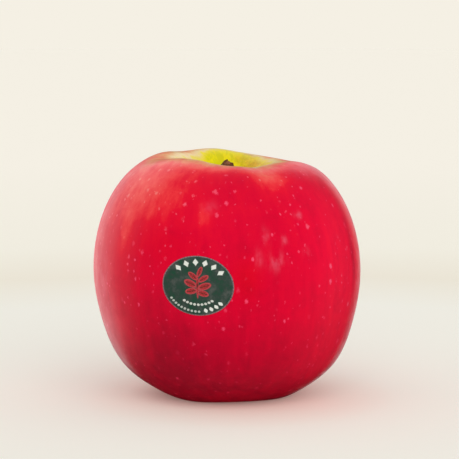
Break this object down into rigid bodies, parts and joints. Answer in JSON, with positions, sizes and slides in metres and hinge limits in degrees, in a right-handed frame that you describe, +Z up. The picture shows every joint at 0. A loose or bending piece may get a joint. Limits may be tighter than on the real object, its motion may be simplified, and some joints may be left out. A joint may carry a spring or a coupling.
{
  "type": "apple",
  "caption": "Whole fresh red apple that stands on its lobed base, with a short stem in its cavity, a dried calyx underneath and a small oval label on its skin",
  "frame": {"origin": "on the floor, under the middle of the fruit's bounding box; the lowest lobes' flat spots lie at z = 0", "axes": "+Z up along the stem, +X to the right of the face with the label, the label's face looks towards -Y"},
  "size_m": [0.0783, 0.079, 0.0713],
  "materials": {
    "apple_skin": "satin",
    "stem_wood": "matte",
    "dried_calyx": "matte",
    "dried_stamens": "matte",
    "label_film": "satin"
  },
  "bodies": {
    "root": {"apple_body": "apple_skin", "stem": "stem_wood", "sepal_1": "dried_calyx", "sepal_2": "dried_calyx", "sepal_3": "dried_calyx", "sepal_4": "dried_calyx", "sepal_5": "dried_calyx", "stamen_tuft": "dried_stamens", "label": "label_film"}
  },
  "joints": []
}
